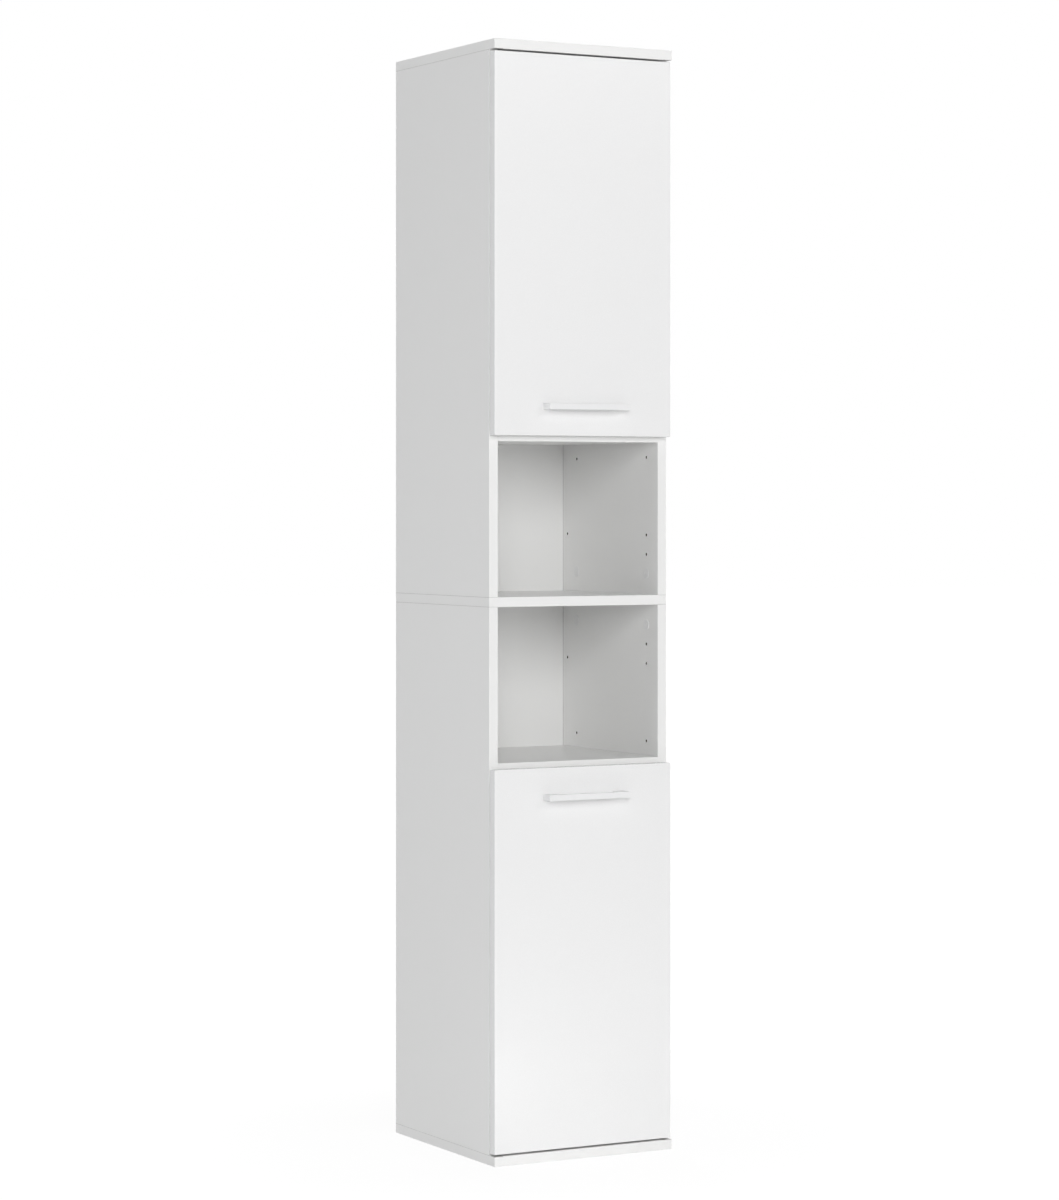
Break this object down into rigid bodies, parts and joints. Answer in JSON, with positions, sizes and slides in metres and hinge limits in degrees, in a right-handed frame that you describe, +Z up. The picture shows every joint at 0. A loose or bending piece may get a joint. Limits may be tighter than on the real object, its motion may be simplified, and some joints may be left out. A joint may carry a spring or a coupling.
{
  "type": "tall bathroom cabinet",
  "caption": "Tall slim white cabinet with a hinged door above and below open niches, bow handles, concealed hinges and a flat base.",
  "frame": {"origin": "centre of the base board's underside, which stands on the floor", "axes": "+Z up, -Y out of the front that the doors face, +X to the right as seen from the front"},
  "size_m": [0.33, 0.372, 1.8],
  "materials": {
    "carcass_board": "white melamine-faced chipboard, satin",
    "door_board": "white melamine-faced chipboard, smooth satin",
    "shelf_board": "white melamine-faced chipboard, satin",
    "back_board": "thin hardboard, white lacquered on the inside",
    "cam_zinc": "die-cast zinc, bare",
    "bolt_steel": "zinc-plated steel",
    "dowel_beech": "fluted beech",
    "cap_white": "moulded white plastic",
    "pin_nickel": "nickel-plated steel",
    "bracket_zinc": "zinc-plated sheet steel",
    "screw_zinc": "zinc-plated steel",
    "bumper_clear": "clear soft polyurethane",
    "handle_white": "die-cast zinc, white powder coat",
    "handle_screw": "zinc-plated steel",
    "hinge_nickel": "nickel-plated pressed steel",
    "pivot_steel": "bright steel",
    "hinge_screw": "nickel-plated steel"
  },
  "bodies": {
    "carcass": {"base_panel": "carcass_board", "top_panel": "carcass_board", "middle_panel": "carcass_board", "lower_side_left": "carcass_board", "lower_side_right": "carcass_board", "upper_side_left": "carcass_board", "upper_side_right": "carcass_board", "lower_fixed_shelf": "carcass_board", "upper_fixed_shelf": "carcass_board", "lower_adjustable_shelf": "shelf_board", "upper_adjustable_shelf": "shelf_board", "lower_back_panel": "back_board", "upper_back_panel": "back_board", "side_cams": "cam_zinc", "shelf_cams": "cam_zinc", "cam_bolts": "bolt_steel", "double_bolts": "bolt_steel", "shelf_bolts": "bolt_steel", "end_dowels": "dowel_beech", "middle_dowels": "dowel_beech", "shelf_dowels": "dowel_beech", "cam_caps": "cap_white", "lower_shelf_pins": "pin_nickel", "upper_shelf_pins": "pin_nickel", "wall_bracket": "bracket_zinc", "bracket_screws": "screw_zinc", "lower_hinge_plates": "hinge_nickel", "lower_plate_screws": "hinge_screw", "lower_hinge_arms": "hinge_nickel", "lower_arm_pins": "pivot_steel", "lower_arm_screws": "hinge_screw", "upper_hinge_plates": "hinge_nickel", "upper_plate_screws": "hinge_screw", "upper_hinge_arms": "hinge_nickel", "upper_arm_pins": "pivot_steel", "upper_arm_screws": "hinge_screw"},
    "lower_door_leaf": {"lower_door": "door_board", "lower_door_bumpers": "bumper_clear", "lower_handle": "handle_white", "lower_handle_screws": "handle_screw", "lower_hinge_cups": "hinge_nickel", "lower_cup_pins": "pivot_steel", "lower_cup_screws": "hinge_screw"},
    "lower_long_levers": {"lower_long_links": "hinge_nickel"},
    "lower_short_levers": {"lower_short_links": "hinge_nickel"},
    "upper_door_leaf": {"upper_door": "door_board", "upper_door_bumpers": "bumper_clear", "upper_handle": "handle_white", "upper_handle_screws": "handle_screw", "upper_hinge_cups": "hinge_nickel", "upper_cup_pins": "pivot_steel", "upper_cup_screws": "hinge_screw"},
    "upper_long_levers": {"upper_long_links": "hinge_nickel"},
    "upper_short_levers": {"upper_short_links": "hinge_nickel"}
  },
  "joints": [
    {"name": "lower_long_lever_turn", "type": "hinge", "parent": "carcass", "child": "lower_long_levers", "pos_m": [0.1295, -0.1429, 0.321], "axis": [0, 0, 1], "range_deg": [-31.3, 0]},
    {"name": "lower_door_swing", "type": "hinge", "parent": "lower_long_levers", "child": "lower_door_leaf", "pos_m": [0.153, -0.159, 0.321], "axis": [0, 0, 1], "range_deg": [0, 123.28]},
    {"name": "lower_short_lever_turn", "type": "hinge", "parent": "carcass", "child": "lower_short_levers", "pos_m": [0.1377, -0.1612, 0.321], "axis": [0, 0, 1], "range_deg": [-44.18, 0]},
    {"name": "upper_long_lever_turn", "type": "hinge", "parent": "carcass", "child": "upper_long_levers", "pos_m": [0.1295, -0.1429, 1.479], "axis": [0, 0, 1], "range_deg": [-31.3, 0]},
    {"name": "upper_door_swing", "type": "hinge", "parent": "upper_long_levers", "child": "upper_door_leaf", "pos_m": [0.153, -0.159, 1.479], "axis": [0, 0, 1], "range_deg": [0, 123.28]},
    {"name": "upper_short_lever_turn", "type": "hinge", "parent": "carcass", "child": "upper_short_levers", "pos_m": [0.1377, -0.1612, 1.479], "axis": [0, 0, 1], "range_deg": [-44.18, 0]}
  ],
  "couplings": [
    {"joint": "lower_long_lever_turn", "follows": "lower_door_swing", "ratio": -0.25373},
    {"joint": "lower_short_lever_turn", "follows": "lower_door_swing", "ratio": -0.35821},
    {"joint": "upper_long_lever_turn", "follows": "upper_door_swing", "ratio": -0.25373},
    {"joint": "upper_short_lever_turn", "follows": "upper_door_swing", "ratio": -0.35821}
  ]
}
